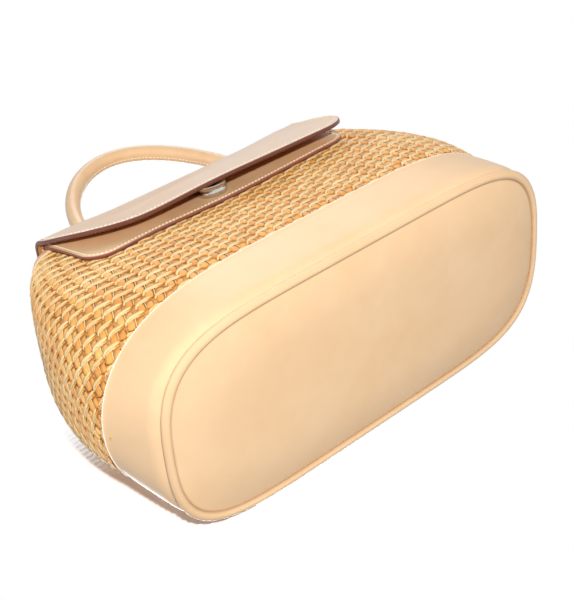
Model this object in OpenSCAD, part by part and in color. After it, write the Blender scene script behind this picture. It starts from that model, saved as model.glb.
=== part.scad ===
// Woven straw handbag with a leather base, flap and rolled handle, standing upright.
// +Z is up, X runs along the bag, the front faces -Y, and the base stands on z = 0.

/* [Base] */
// Length of the base over its piping
base_length = 340; // [300:1:380]
// Depth of the base over its piping
base_depth = 152; // [136:1:170]
// Squareness of the base's long sides
base_side_power = 6.2; // [4:0.1:8]
// Squareness of the base's ends
base_end_power = 2.8; // [2.2:0.1:3.6]
// Thickness of the leather base panel
panel_thickness = 3; // [2:0.1:4]
// Rise of the base panel from its flat middle to its seam
panel_crown = 2; // [1:0.1:3]
// Width of the crowned border of the base panel
panel_border = 24; // [14:1:34]
// Diameter of the piping round the base
piping_diameter = 6; // [5:0.1:8]
// Thickness of the stiffening board inside the base
board_thickness = 3; // [2:0.1:4]

/* [Band] */
// Height of the top edge of the leather band
band_height = 52; // [44:1:60]
// Length over the top edge of the band
band_length = 365; // [345:1:385]
// Depth over the top edge of the band
band_depth = 156; // [144:1:170]
// Squareness of the long sides at the band's top edge
band_side_power = 4.4; // [3.6:0.1:5.4]
// Squareness of the ends at the band's top edge
band_end_power = 2; // [1.8:0.1:2.6]
// Thickness of the band's leather
band_thickness = 2; // [1.4:0.1:3]

/* [Woven body] */
// Height of the woven rim
rim_height = 206; // [196:1:218]
// Length over the woven rim
rim_length = 265; // [256:1:284]
// Depth over the middle of the woven rim, where the mouth is pinched
rim_depth = 78; // [70:1:84]
// Depth over the corners of the woven rim
rim_corner_depth = 90; // [84:1:96]
// Squareness of the long sides at the rim
rim_side_power = 12; // [8:0.5:14]
// Squareness of the ends at the rim
rim_end_power = 5; // [4:0.1:6]
// How late the ends turn in towards the rim
end_swell = 2.2; // [1.8:0.05:2.6]
// Number of woven columns round the bag
weave_columns = 76; // [64:2:84]
// Number of woven rows above the band
weave_rows = 15; // [11:1:17]
// Height of the woven lumps
weave_ridge = 2.2; // [1.4:0.1:3]
// Thickness of the woven wall behind the lumps
weave_wall = 2.2; // [1.6:0.1:3]
// Depth to which the woven wall is tucked into the band
weave_tuck = 12; // [8:1:18]

/* [Mouth] */
// Thickness of the lining
lining_thickness = 0.8; // [0.6:0.1:1.2]
// Thickness of the leather binding of the rim
binding_thickness = 1; // [0.7:0.1:1.5]
// Depth to which the binding covers the rim
binding_drop = 9; // [6:0.5:11]
// Length of the leather facings sewn along the mouth
facing_length = 238; // [224:1:246]
// Height of the facings' lower edge
facing_low = 137; // [130:1:144]
// Radius of the facings' lower corners
facing_corner = 18; // [12:1:26]
// Thickness of the facings' leather
facing_thickness = 2; // [1.4:0.1:2.6]

/* [Flap] */
// Length of the flap along the bag
flap_length = 246; // [238:1:258]
// Thickness of the flap
flap_thickness = 3; // [2.2:0.1:3.6]
// Height of the flap's front edge
flap_low = 147; // [144:1:152]
// Radius of the flap's front corners
flap_corner = 46; // [36:1:50]
// Outer radius of the fold over the mouth's front edge
flap_fold = 10; // [9:0.5:12]
// Distance of the fold's centre in front of the rim
flap_reach = 4; // [3.5:0.5:6]
// Angle by which the flap's front stands off from the facing
flap_lift = 5.5; // [4:0.1:8]

/* [Clasp] */
// Diameter of the clasp
clasp_diameter = 22; // [16:1:26]
// Height of the clasp's centre
clasp_height = 162; // [160:0.5:168]
// Thickness of the clasp's plate on the flap
plate_thickness = 1.2; // [0.8:0.1:1.6]
// Wall of the clasp's drum
drum_wall = 1; // [0.6:0.1:1.5]

/* [Handle] */
// Diameter of the rolled handle
handle_diameter = 11.5; // [9:0.5:14]
// Distance between the handle's feet
handle_span = 146; // [130:1:170]
// Height of the handle's middle line above its feet
handle_rise = 92; // [80:1:110]
// Distance of the handle's feet in front of the middle
handle_forward = 23.5; // [12:0.5:24]
// Distance by which the handle's top leans forward of its feet
handle_lean = 8.5; // [0:0.5:16]
// Sharpness of the handle's crown
handle_power = 1.12; // [1.05:0.01:1.3]
// Length of the tabs that hold the handle
tab_length = 46; // [36:1:56]
// Width of the tabs that hold the handle
tab_width = 26; // [20:1:30]
// Thickness of the tabs
tab_thickness = 2; // [1.4:0.1:2.6]

/* [Fits] */
// Gap between pieces that lie on each other
seat_gap = 0.3; // [0.2:0.05:0.5]
// Gap between the woven wall and the smooth pieces round it
weave_gap = 0.8; // [0.7:0.05:1]

/* [Hidden] */

// Points round the smooth pieces, and in the table of even spacing
smooth_points = 64;
table_steps = 240;
// Length by which cutting shapes pass the faces they cut
cut = 1;
// Halvings that find a point on an outline
halvings = 24;
// Share of the half length over which the long sides swell towards the corners
swell_share = 0.85;

// Heights of the pieces at the base, from the floor up
piping_z = panel_crown + piping_diameter / 2;
board_z = panel_crown + panel_thickness;
band_low = piping_z + piping_diameter / 2 + seat_gap;
lining_low = board_z + board_thickness;
// Heights at the mouth
binding_low = rim_height - binding_drop;
binding_top = rim_height + seat_gap + binding_thickness;
flap_under = binding_top + 2 * seat_gap;
flap_top = flap_under + flap_thickness;
// Heights shared by the inside of the weave and the lining
tuck_low = band_height - weave_tuck;
wall_steps = 3;
wall_heights = concat(
    [for (i = [0:wall_steps]) tuck_low + (binding_low - tuck_low) * i / wall_steps],
    [rim_height]);
// Distances of the wall's layers in from the weave's crests
tuck_inset = band_thickness + weave_gap;
wall_inset = max(weave_ridge, tuck_inset) + weave_wall;
lining_inset = wall_inset + weave_gap;
lining_inner = lining_inset + lining_thickness;
binding_inner = lining_inner + seat_gap;
binding_outer = weave_ridge - weave_gap;
// Facings lie outside the crests
facing_inner = -seat_gap;
facing_outer = facing_inner - facing_thickness;

// Lean of the long sides, and the facing's outer plane on the front at a height
side_rate = (band_depth - rim_depth) / 2 / (rim_height - band_height);
side_lean = atan(side_rate);
function facing_plane(z) = [side_rate * (z - band_height) - band_depth / 2 + facing_outer, z];
// Angle by which the flap's front stands off from upright
flap_splay = side_lean + flap_lift;

// Hinge line of the flap, above the back facing
hinge_y = rim_depth / 2 - (facing_inner + facing_outer) / 2;
hinge_z = flap_under + flap_thickness / 2;
// Centre of the flap's front fold
fold_y = -rim_depth / 2 - flap_reach;
fold_z = flap_top - flap_fold;
fold_end = 180 - flap_splay;
// Directions in the Y and Z plane: out of the flap's front, down it, out of the facing, up it
flap_out = [-cos(flap_splay), sin(flap_splay)];
flap_down = [-sin(flap_splay), -cos(flap_splay)];
facing_out = [-cos(side_lean), sin(side_lean)];
facing_up = [sin(side_lean), cos(side_lean)];
flap_inner_start = [fold_y, fold_z] + (flap_fold - flap_thickness) * flap_out;

// Distance from a point to the flap's inner face along the facing's outward direction
function reach(p) = ((flap_inner_start - p) * flap_out) / (facing_out * flap_out);
clasp_seat = facing_plane(clasp_height) + seat_gap * facing_out;
clasp_top_edge = clasp_seat + clasp_diameter / 2 * facing_up;
drum_height = reach(clasp_top_edge) - plate_thickness / (facing_out * flap_out) - 2 * seat_gap;
plate_seat = clasp_seat + reach(clasp_seat) * facing_out;

function mix(a, b, t) = a + (b - a) * t;
function clamp(t) = min(1, max(0, t));
function smooth(t) = let (c = clamp(t)) c * c * (3 - 2 * c);

// Half length, half depth at the middle, half depth at the corners and both powers at a height
function lower_level(t) = [
    mix(base_length, band_length, t) / 2,
    mix(base_depth, band_depth, t) / 2,
    mix(base_depth, band_depth, t) / 2,
    mix(base_side_power, band_side_power, t),
    mix(base_end_power, band_end_power, t)];
function upper_level(t) = [
    mix(band_length, rim_length, pow(t, end_swell)) / 2,
    mix(band_depth, rim_depth, t) / 2,
    mix(band_depth, rim_corner_depth, t) / 2,
    mix(band_side_power, rim_side_power, t),
    mix(band_end_power, rim_end_power, t)];
function level(z) = z <= band_height
    ? lower_level(clamp((z - piping_z) / (band_height - piping_z)))
    : upper_level(clamp((z - band_height) / (rim_height - band_height)));

// Factor that carries a point of the unit circle out to the outline
function stretch(c, s, n, m, low = 1, high = 1.5, left = halvings) =
    left == 0 ? (low + high) / 2
    : let (k = (low + high) / 2)
      pow(k * c, n) + pow(k * s, m) > 1 ? stretch(c, s, n, m, low, k, left - 1)
                                        : stretch(c, s, n, m, k, high, left - 1);
function half_depth(f, x, inset) =
    mix(f[1], f[2], smooth(abs(x) / (f[0] * swell_share))) - inset;
// Point of the wall in a direction and at a height, moved in from the crests
function wall(angle, z, inset) =
    let (f = level(z), k = stretch(abs(cos(angle)), abs(sin(angle)), f[3], f[4]))
    let (x = (f[0] - inset) * k * cos(angle))
    [x, half_depth(f, x, inset) * k * sin(angle), z];
// Depth of the front wall at a place along the bag
function front_y(x, z, inset) =
    let (f = level(z))
    -half_depth(f, x, inset) * pow(max(0, 1 - pow(abs(x) / (f[0] - inset), f[3])), 1 / f[4]);

// Directions that space points evenly round the bag
table_points = [for (i = [0:table_steps]) wall(i * 360 / table_steps, band_height, 0)];
table = [for (i = 0, run = 0; i <= table_steps;
              run = run + (i < table_steps ? norm(table_points[i + 1] - table_points[i]) : 0),
              i = i + 1) [run, i * 360 / table_steps]];
girth = table[table_steps][0];
function angles(count) = [for (i = [0:count - 1]) lookup(i * girth / count, table)];
smooth_angles = angles(smooth_points);
weave_angles = angles(weave_columns);
function ring(z, inset) = [for (angle = smooth_angles) wall(angle, z, inset)];
function weave_ring(z, inset) = [for (angle = weave_angles) wall(angle, z, inset)];
// Half row of lumps: every second column stands out, changing over from one to the next
function lump_ring(z, step) =
    [for (i = [0:weave_columns - 1]) wall(weave_angles[i], z, (i + step) % 2 == 0 ? 0 : weave_ridge)];

function flatten(rings) = [for (r = rings) each r];
function sides(rings, count, closed) =
    [for (i = [0:len(rings) - (closed ? 1 : 2)], j = [0:count - 1])
        let (k = (i + 1) % len(rings), next = (j + 1) % count)
        [i * count + j, k * count + j, k * count + next, i * count + next]];

// Faces of a closed band of lumps, each square cut between its lower corners so that the lumps stand apart
function lump_sides(rings, count) =
    [for (i = [0:len(rings) - 1], j = [0:count - 1])
        let (k = (i + 1) % len(rings), next = (j + 1) % count)
        let (a = i * count + j, b = k * count + j, c = k * count + next, d = i * count + next)
        each (i + j) % 2 == 1 ? [[a, b, d], [b, c, d]] : [[a, b, c], [a, c, d]]];

// Closed band swept through rings that return to the first one
module ring_loop(rings) {
    polyhedron(flatten(rings), sides(rings, len(rings[0]), true), convexity = 6);
}

// Solid through rings from its bottom face to its top face
module ring_stack(rings) {
    count = len(rings[0]);
    last = (len(rings) - 1) * count;
    bottom = [for (j = [0:count - 1]) j];
    top = [for (j = [count - 1:-1:0]) last + j];
    polyhedron(flatten(rings), concat([bottom], sides(rings, count, false), [top]), convexity = 6);
}

// Plate between two grids of points with the same rows and columns
module plate(outer, inner) {
    rows = len(outer);
    cols = len(outer[0]);
    shift = rows * cols;
    front = [for (i = [0:rows - 2], j = [0:cols - 2])
        [i * cols + j, (i + 1) * cols + j, (i + 1) * cols + j + 1, i * cols + j + 1]];
    back = [for (f = front) [for (k = [3:-1:0]) f[k] + shift]];
    rim = concat(
        [for (j = [0:cols - 1]) j],
        [for (i = [1:rows - 1]) i * cols + cols - 1],
        [for (j = [cols - 2:-1:0]) (rows - 1) * cols + j],
        [for (i = [rows - 2:-1:1]) i * cols]);
    edge = [for (i = [0:len(rim) - 1])
        let (a = rim[i], b = rim[(i + 1) % len(rim)]) [a, b, b + shift, a + shift]];
    polyhedron(concat(flatten(outer), flatten(inner)), concat(front, back, edge), convexity = 4);
}

// Leather base panel: flat where it stands, crowned towards its seam
module base_panel() {
    seam = piping_diameter + seat_gap;
    levels = [[0, panel_border], [panel_crown / 4, panel_border / 2], [panel_crown, 0],
              [panel_crown + panel_thickness, 0]];
    color("burlywood")
        ring_stack([for (l = levels) [for (p = ring(piping_z, seam + l[1])) [p[0], p[1], l[0]]]]);
}

// Leather-covered cord in the seam round the base
module base_piping() {
    r = piping_diameter / 2;
    turns = [0:45:315];
    color("tan")
        ring_loop([for (turn = turns)
            [for (p = ring(piping_z, r - r * cos(turn))) [p[0], p[1], piping_z + r * sin(turn)]]]);
}

// Stiffening board that lies on the base panel
module base_board() {
    outline = [for (p = ring(piping_z, piping_diameter + 2 * seat_gap)) [p[0], p[1]]];
    color("saddlebrown")
        translate([0, 0, board_z])
            linear_extrude(board_thickness)
                polygon(outline);
}

// Leather band from the piping up to the weave
module base_band() {
    heights = [for (i = [0:3]) mix(band_low, band_height, i / 3)];
    color("wheat")
        ring_loop(concat(
            [for (z = heights) ring(z, 0)],
            [for (i = [3:-1:0]) ring(heights[i], band_thickness)]));
}

// Woven straw body: staggered lumps outside, smooth inside, tucked into the band
module woven_body() {
    weave_low = band_height + seat_gap;
    steps = 2 * weave_rows;
    pitch = (binding_low - seat_gap - weave_low) / steps;
    rings = concat(
        [weave_ring(tuck_low, tuck_inset), weave_ring(weave_low, tuck_inset)],
        [for (i = [1:steps - 1]) lump_ring(weave_low + i * pitch, i)],
        [weave_ring(binding_low - seat_gap, weave_ridge), weave_ring(rim_height, weave_ridge)],
        [for (i = [len(wall_heights) - 1:-1:0]) weave_ring(wall_heights[i], wall_inset)]);
    color("goldenrod")
        polyhedron(flatten(rings), lump_sides(rings, weave_columns), convexity = 6);
}

// Lining that stands on the board and ends under the binding
module lining() {
    last = len(wall_heights) - 1;
    color("peru")
        ring_stack(concat(
            [ring(lining_low, lining_inset)],
            [for (z = wall_heights) ring(z, lining_inset)],
            [for (i = [last:-1:0]) ring(wall_heights[i], lining_inner)],
            [ring(lining_low + lining_thickness, lining_inner)]));
}

// Leather binding folded over the rim of the weave and the lining
module rim_binding() {
    outer_face = binding_outer - binding_thickness;
    inner_face = binding_inner + binding_thickness;
    fold = rim_height + seat_gap;
    section = [[binding_low, outer_face], [binding_top, outer_face], [binding_top, inner_face],
               [binding_low, inner_face], [binding_low, binding_inner], [fold, binding_inner],
               [fold, binding_outer], [binding_low, binding_outer]];
    color("burlywood")
        ring_loop([for (p = section) [for (q = ring(min(p[0], rim_height), p[1])) [q[0], q[1], p[0]]]]);
}

// Leather strip along the front of the mouth, up to a height
module facing(top) {
    corner_steps = 4;
    upper_steps = 3;
    columns = 14;
    half = facing_length / 2;
    arc = [for (i = [0:corner_steps]) i * 90 / corner_steps];
    lows = [for (a = arc) [facing_low + facing_corner * (1 - cos(a)), half - facing_corner * (1 - sin(a))]];
    shoulder = facing_low + facing_corner;
    rows = concat(lows, [for (i = [1:upper_steps]) [mix(shoulder, top, i / upper_steps), half]]);
    // Places along the strip, closer together towards its ends
    places = [for (j = [0:columns]) -cos(180 * j / columns)];
    function grid(inset) = [for (r = rows)
        [for (place = places) let (x = r[1] * place) [x, front_y(x, r[0], inset), r[0]]]];
    plate(grid(facing_outer), grid(facing_inner));
}

module front_facing() {
    color("tan") facing(rim_height - seat_gap);
}

module back_facing() {
    color("tan") mirror([0, 1, 0]) facing(hinge_z - flap_thickness / 2 - seat_gap);
}

// Section of the flap from the hinge over the mouth and down the front, in Y and Z
module flap_section() {
    fold_steps = 8;
    drop = (fold_z + flap_fold * flap_out[1] - flap_low) / -flap_down[1];
    turns = [for (i = [0:fold_steps]) mix(90, fold_end, i / fold_steps)];
    function fold(r) = [for (turn = turns) [fold_y + r * cos(turn), fold_z + r * sin(turn)]];
    function face(r) = concat([[hinge_y, fold_z + r]], fold(r), [fold(r)[fold_steps] + drop * flap_down]);
    outer = face(flap_fold);
    inner = face(flap_fold - flap_thickness);
    polygon(concat(outer, [for (i = [len(inner) - 1:-1:0]) inner[i]]));
    translate([hinge_y, hinge_z]) circle(d = flap_thickness, $fn = 48);
}

// Front view of the flap, with its rounded lower corners
module flap_outline() {
    half = flap_length / 2;
    turns = [for (i = [0:8]) i * 90 / 8];
    centre = [half - flap_corner, flap_low + flap_corner];
    right = [for (turn = turns) centre + flap_corner * [sin(turn), -cos(turn)]];
    left = [for (i = [len(right) - 1:-1:0]) [-right[i][0], right[i][1]]];
    polygon(concat(right, [[half, flap_top + cut], [-half, flap_top + cut]], left));
}

module flap() {
    color("tan")
        intersection() {
            rotate([90, 0, 90]) linear_extrude(flap_length, center = true) flap_section();
            rotate([90, 0, 0]) linear_extrude(2 * band_depth, center = true) flap_outline();
        }
}

// Places a clasp piece with its axis out of a face of the given lean, at a point in Y and Z
module on_face(seat, lean) {
    translate([0, seat[0], seat[1]]) rotate([90 - lean, 0, 0]) children();
}

// Polished drum on the facing, open towards the facing
module clasp_drum() {
    color("silver")
        on_face(clasp_seat, side_lean)
            difference() {
                cylinder(d = clasp_diameter, h = drum_height, $fn = 64);
                translate([0, 0, -cut])
                    cylinder(d = clasp_diameter - 2 * drum_wall, h = drum_height - drum_wall + cut, $fn = 64);
            }
}

// Magnet inside the drum
module clasp_magnet() {
    color("dimgray")
        on_face(clasp_seat, side_lean)
            cylinder(d = clasp_diameter - 2 * drum_wall - 2 * seat_gap,
                     h = drum_height - drum_wall - seat_gap, $fn = 64);
}

// Steel plate under the flap that meets the drum
module clasp_plate() {
    color("silver")
        on_face(plate_seat - plate_thickness * flap_out, flap_splay)
            cylinder(d = clasp_diameter, h = plate_thickness, $fn = 64);
}

// Leather tab sewn on the flap under one foot of the handle
module handle_tab(side) {
    run = tab_length - tab_width;
    translate([side * handle_span / 2, -handle_forward, flap_top])
        linear_extrude(tab_thickness) {
            square([run, tab_width], center = true);
            for (end = [-1, 1]) translate([end * run / 2, 0]) circle(d = tab_width, $fn = 48);
        }
}

module left_handle_tab() {
    color("tan") handle_tab(-1);
}

module right_handle_tab() {
    color("tan") handle_tab(1);
}

// Rolled handle: a round cord of leather along an arch that leans forward
module handle() {
    steps = 26;
    around = 10;
    foot_z = flap_top + tab_thickness;
    function arch(turn) =
        let (rise = pow(sin(turn), handle_power))
        [handle_span / 2 * cos(turn), -handle_forward - handle_lean * rise * rise, foot_z + handle_rise * rise];
    function heading(turn) =
        turn <= 0 ? [0, 0, 1] : turn >= 180 ? [0, 0, -1]
        : let (d = arch(min(180, turn + 1)) - arch(max(0, turn - 1))) d / norm(d);
    function section(turn) =
        let (along = heading(turn), over = cross([0, 1, 0], along))
        let (u = over / norm(over), v = cross(along, u))
        [for (i = [0:around - 1])
            arch(turn) + handle_diameter / 2 * (u * cos(i * 360 / around) + v * sin(i * 360 / around))];
    color("burlywood")
        ring_stack([for (i = [0:steps]) section(i * 180 / steps)]);
}

base_panel();
base_piping();
base_board();
base_band();
woven_body();
lining();
rim_binding();
front_facing();
back_facing();
flap();
clasp_drum();
clasp_magnet();
clasp_plate();
left_handle_tab();
right_handle_tab();
handle();
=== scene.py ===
import math

import bmesh
import bpy
import numpy as np
from mathutils import Matrix, Vector


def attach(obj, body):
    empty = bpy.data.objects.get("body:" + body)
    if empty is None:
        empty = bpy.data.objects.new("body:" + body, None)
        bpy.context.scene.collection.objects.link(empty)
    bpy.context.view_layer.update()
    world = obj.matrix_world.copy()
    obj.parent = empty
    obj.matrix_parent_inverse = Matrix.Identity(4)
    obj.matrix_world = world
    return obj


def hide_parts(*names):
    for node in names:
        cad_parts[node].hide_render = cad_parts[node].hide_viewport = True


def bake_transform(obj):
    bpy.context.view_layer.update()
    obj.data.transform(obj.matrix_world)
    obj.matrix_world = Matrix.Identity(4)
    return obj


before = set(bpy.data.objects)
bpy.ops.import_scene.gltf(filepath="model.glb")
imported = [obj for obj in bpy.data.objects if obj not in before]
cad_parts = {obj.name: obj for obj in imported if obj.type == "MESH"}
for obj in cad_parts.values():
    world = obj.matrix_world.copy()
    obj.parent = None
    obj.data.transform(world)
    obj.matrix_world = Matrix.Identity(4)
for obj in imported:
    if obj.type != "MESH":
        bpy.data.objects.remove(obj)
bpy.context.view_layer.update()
scene = bpy.context.scene
mm = 0.001   # sizes below are in millimetres, meshes in metres
print("frame loaded:", len(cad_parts), "nodes")


# Sockets that can be used in sums, for shader and geometry trees alike
class Sock:
    def __init__(self, tree, out):
        self.tree, self.out = tree, out

    def math(self, operation, first, second):
        return make(self.tree, "ShaderNodeMath", {"operation": operation}, {0: first, 1: second})

    def __add__(self, other): return self.math("ADD", self, other)
    def __radd__(self, other): return self.math("ADD", other, self)
    def __sub__(self, other): return self.math("SUBTRACT", self, other)
    def __rsub__(self, other): return self.math("SUBTRACT", other, self)
    def __mul__(self, other): return self.math("MULTIPLY", self, other)


# Any node: settings first, then the values or links of its sockets
def make(tree, kind, settings=None, sockets=None, out=0):
    node = tree.nodes.new(kind)
    for key, value in (settings or {}).items():
        setattr(node, key, value)
    for key, value in (sockets or {}).items():
        if isinstance(value, Sock):
            tree.links.new(value.out, node.inputs[key])
        else:
            node.inputs[key].default_value = value
    return Sock(tree, node.outputs[out]) if len(node.outputs) else node


def colour(code):
    parts = [int(code[i:i + 2], 16) / 255 for i in (0, 2, 4)]
    return tuple(p / 12.92 if p <= 0.04045 else ((p + 0.055) / 1.055) ** 2.4 for p in parts) + (1.0,)


# An empty material, its tree and the place on the object
def newMaterial(name):
    material = bpy.data.materials.new(name)
    material.use_nodes = True
    tree = material.node_tree
    tree.nodes.clear()
    return material, tree, make(tree, "ShaderNodeTexCoord", out=3)


def blendColours(factor, *pair):
    a, b = [colour(c) if isinstance(c, str) else c for c in pair]
    return make(factor.tree, "ShaderNodeMix", {"data_type": "RGBA", "blend_type": "MIX", "clamp_factor": True},
                {0: factor, 6: a, 7: b}, out=2)


def colourRamp(factor, stops):
    shade = make(factor.tree, "ShaderNodeValToRGB", None, {"Fac": factor})
    elements = shade.out.node.color_ramp.elements
    while len(elements) < len(stops):
        elements.new(0.5)
    for element, (place, code) in zip(elements, stops):
        element.position, element.color = place, colour(code)
    return shade


def noise(place, size, detail=2.0, rough=0.5):
    return make(place.tree, "ShaderNodeTexNoise", None,
                {"Vector": place, "Scale": 1 / (size * mm), "Detail": detail, "Roughness": rough})


def cellNoise(place, size):
    return make(place.tree, "ShaderNodeTexVoronoi", {"feature": "F1"},
                {"Vector": place, "Scale": 1 / (size * mm), "Randomness": 1.0})


def ranged(value, low, high, atLow=0.0, atHigh=1.0, kind="LINEAR"):
    return make(value.tree, "ShaderNodeMapRange", {"interpolation_type": kind},
                {0: value, 1: low, 2: high, 3: atLow, 4: atHigh})


# A value or a vector kept on the mesh's points
def mark(tree, name, out=2):
    return make(tree, "ShaderNodeAttribute", {"attribute_name": name}, None, out)


def stretched(place, scale):
    return make(place.tree, "ShaderNodeMapping", None, {"Vector": place, "Scale": scale})


def finishSurface(material, tree, sockets, height, strength, depth):
    sockets["Normal"] = make(tree, "ShaderNodeBump", None,
                             {"Strength": strength, "Distance": depth * mm, "Height": height})
    shader = make(tree, "ShaderNodeBsdfPrincipled", None, sockets)
    make(tree, "ShaderNodeOutputMaterial", None, {"Surface": shader})
    return material


# Smooth calf leather: fine grain, faint mottling, a waxed coat, worn where its edges turn, with painted shade
# along the piping's grooves from the seam mark
# seam: the colour of the painted shade in the grooves beside the piping
leatherLook = {"cloudShare": 0.22, "poreShare": 0.35, "worn": "C79A6B", "seam": "7A4A2C", "grooveShadeShare": 0.6,
               "speck": "8A5836", "speckCore": 0.011, "speckEdge": 0.02, "speckShare": 0.55}


def leather(name, light, dark, rough, coat, grainSize=0.9, mottleSize=60, speckSize=0):
    look = leatherLook
    material, tree, place = newMaterial(name)
    mottle = noise(place, mottleSize, detail=3.0, rough=0.55)
    cloud = noise(place, mottleSize * look["cloudShare"], detail=4.0, rough=0.6)
    pores = noise(place, grainSize * look["poreShare"], rough=0.6)
    rubbed = mark(tree, "wear") * (cloud + 0.4)
    base = blendColours(ranged(mottle * 0.7 + cloud * 0.3, 0.36, 0.64), dark, light)
    base = blendColours(rubbed, base, look["worn"])
    # painted shade in the grooves where a piece meets the piping
    base = blendColours(mark(tree, "seam") * look["grooveShadeShare"], base, look["seam"])
    if speckSize:
        spots = cellNoise(place, speckSize)
        speck = ranged(spots, look["speckCore"], look["speckEdge"], look["speckShare"], 0.0)
        base = blendColours(speck, base, look["speck"])
    return finishSurface(material, tree, {
        "Base Color": base,
        "Roughness": rough + (pores - 0.5) * 0.12 + (cloud - 0.5) * 0.1 + rubbed * 0.1,
        "Specular IOR Level": 0.36,
        "Coat Weight": coat,
        "Coat Roughness": 0.3,
    }, cellNoise(place, grainSize) * 0.6 + pores * 0.5, strength=0.08, depth=0.4)


# Cut edge painted dark and burnished
def paintedEdge(name, light, dark, streakSize=2.2):
    material, tree, place = newMaterial(name)
    streaks = noise(place, streakSize, detail=4.0, rough=0.65)
    return finishSurface(material, tree, {
        "Base Color": blendColours(streaks, dark, light),
        "Roughness": 0.34 + streaks * 0.2,
        "Coat Weight": 0.15,
    }, streaks, strength=0.2, depth=0.5)


# Waxed thread with its twist
def threadFinish(name, light, dark, fibreSize=0.5):
    material, tree, place = newMaterial(name)
    fibre = noise(place, fibreSize)
    return finishSurface(material, tree, {
        "Base Color": blendColours(fibre, dark, light),
        "Roughness": 0.6 + fibre * 0.15,
    }, fibre, strength=0.25, depth=0.3)


# Straw: a tone for each strand, with fibres along it, and painted shade where it dips into the weave
def straw(name, stops, shade, rough, coat, fibreSize, fibreTurn, bump, patchSize=26):
    material, tree, place = newMaterial(name)
    along = stretched(mark(tree, "strandPlace", out=1), fibreTurn)
    fibre = ranged(noise(along, fibreSize, detail=3.0, rough=0.6), 0.32, 0.68)
    patch = noise(place, patchSize)
    base = colourRamp(mark(tree, "tone") * 0.32 + fibre * 0.4 + patch * 0.7 - 0.2, stops)
    # painted shade: the straw turns to its shade colour where the mark rise is low
    paintedLit = ranged(mark(tree, "rise"), 0.0, 0.6)
    return finishSurface(material, tree, {
        "Base Color": blendColours(paintedLit, shade, base),
        "Roughness": rough + (fibre - 0.5) * 0.2,
        "Coat Weight": coat,
        "Coat Roughness": 0.25,
    }, fibre, strength=bump, depth=0.6)


# Plain woven cloth, warp over weft
def liningFinish(name, light, dark, threads=420, cloudSize=30):
    material, tree, place = newMaterial(name)
    warp, weft = [make(tree, "ShaderNodeTexWave", {"bands_direction": axis},
                       {"Vector": place, "Scale": threads, "Distortion": 0.4}) for axis in "XZ"]
    cloud = noise(place, cloudSize, detail=3.0)
    cloth = warp.math("MAXIMUM", warp, weft)
    return finishSurface(material, tree, {
        "Base Color": blendColours(cloth * 0.4 + cloud * 0.6, dark, light),
        "Roughness": 0.8 + cloud * 0.1,
    }, cloth, strength=0.3, depth=0.3)


def polishedSteel(name, tint, bright, rough, smearSize=6, brushSize=3):
    material, tree, place = newMaterial(name)
    smear = noise(place, smearSize, detail=4.0, rough=0.6)
    brush = noise(stretched(place, (1.0, 14.0, 14.0)), brushSize)
    return finishSurface(material, tree, {
        "Base Color": blendColours(smear, tint, bright),
        "Metallic": 1.0,
        "Roughness": rough + smear * 0.08 + (brush - 0.5) * 0.05,
    }, brush, strength=0.03, depth=0.2)


finishes = {
    "tan": leather("tan leather", "F1CCA1", "ECC496", 0.4, 0.12, speckSize=75),
    "flap": leather("flap leather", "EFD0B3", "E8C5A5", 0.4, 0.15, 0.8, 40),
    "inner": leather("flap underside", "C58C55", "B07A45", 0.55, 0.0, 1.1, 30),
    "facing": leather("facing leather", "EFC99C", "E7BD8C", 0.4, 0.15, 0.8, 40),
    "handle": leather("handle leather", "E6C299", "DCB589", 0.36, 0.2, 0.8, 35),
    "edge": paintedEdge("painted edge", "985646", "70382C"),
    # the flap's edge paint, darkened further as painted shade for the gap beneath the flap
    "flapEdgeAndGapShade": paintedEdge("flap edge with painted gap shade", "74402F", "512A20"),
    "rawEdge": paintedEdge("raw edge", "F6EFE2", "E2D6C2"),
    "thread": threadFinish("cream thread", "FBF3DF", "E9DBBD"),
    # each straw's second colour is its painted shade
    "lump": straw("golden straw", ((0.1, "BE7838"), (0.4, "DE9848"), (0.65, "ECB05E"), (0.95, "F5CA86")),
                  "BA7236", 0.4, 0.2, 1.3, (3.2, 0.5, 1.0), 0.35),
    "pale": straw("pale straw", ((0.05, "DFA560"), (0.35, "EFC888"), (0.9, "FADFAA")),
                  "CF9858", 0.46, 0.1, 1.2, (0.5, 3.0, 1.0), 0.3),
    "wall": straw("straw ground", ((0.2, "C58848"), (0.8, "E0AD68")),
                  "B87838", 0.6, 0.0, 1.5, (1.0, 1.0, 1.0), 0.4),
    "lining": liningFinish("lining cloth", "B98A58", "9A6D3E"),
    "steel": polishedSteel("polished steel", "B9B3AB", "E9E8E4", 0.2),
    "board": liningFinish("board cover", "8A6238", "70502C"),
}
print("materials:", len(finishes))


# The bag's forms, with the same rules as the solids
bag = {
    "baseLength": 340, "baseDepth": 152, "baseSide": 6.2, "baseEnd": 2.8,
    "pipingZ": 5, "pipingRadius": 3,
    "bandHeight": 52, "bandLength": 365, "bandDepth": 156, "bandSide": 4.4, "bandEnd": 2.0,
    "rimHeight": 206, "rimLength": 265, "rimDepth": 78, "rimCorner": 90, "rimSide": 12.0, "rimEnd": 5.0,
    "endSwell": 2.2, "swellShare": 0.85, "girthSteps": 7200,
}


def ease(t):
    c = np.clip(t, 0, 1)
    return c * c * (3 - 2 * c)


# Rises softly from 0 at start to 1 after a run
def ramp(x, start, run):
    return ease((x - start) / run)


def hump(x, middle, width, strength):
    return strength * np.exp(-((x - middle) / width) ** 2)


def mixed(a, b, t):
    return a + (b - a) * t


def unit(vectors):
    return vectors / np.linalg.norm(vectors, axis=-1, keepdims=True)


# Length along a line of points, up to each of them
def runAlong(points):
    return np.concatenate([[0], np.cumsum(np.linalg.norm(np.diff(points, axis=0), axis=1))])


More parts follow.
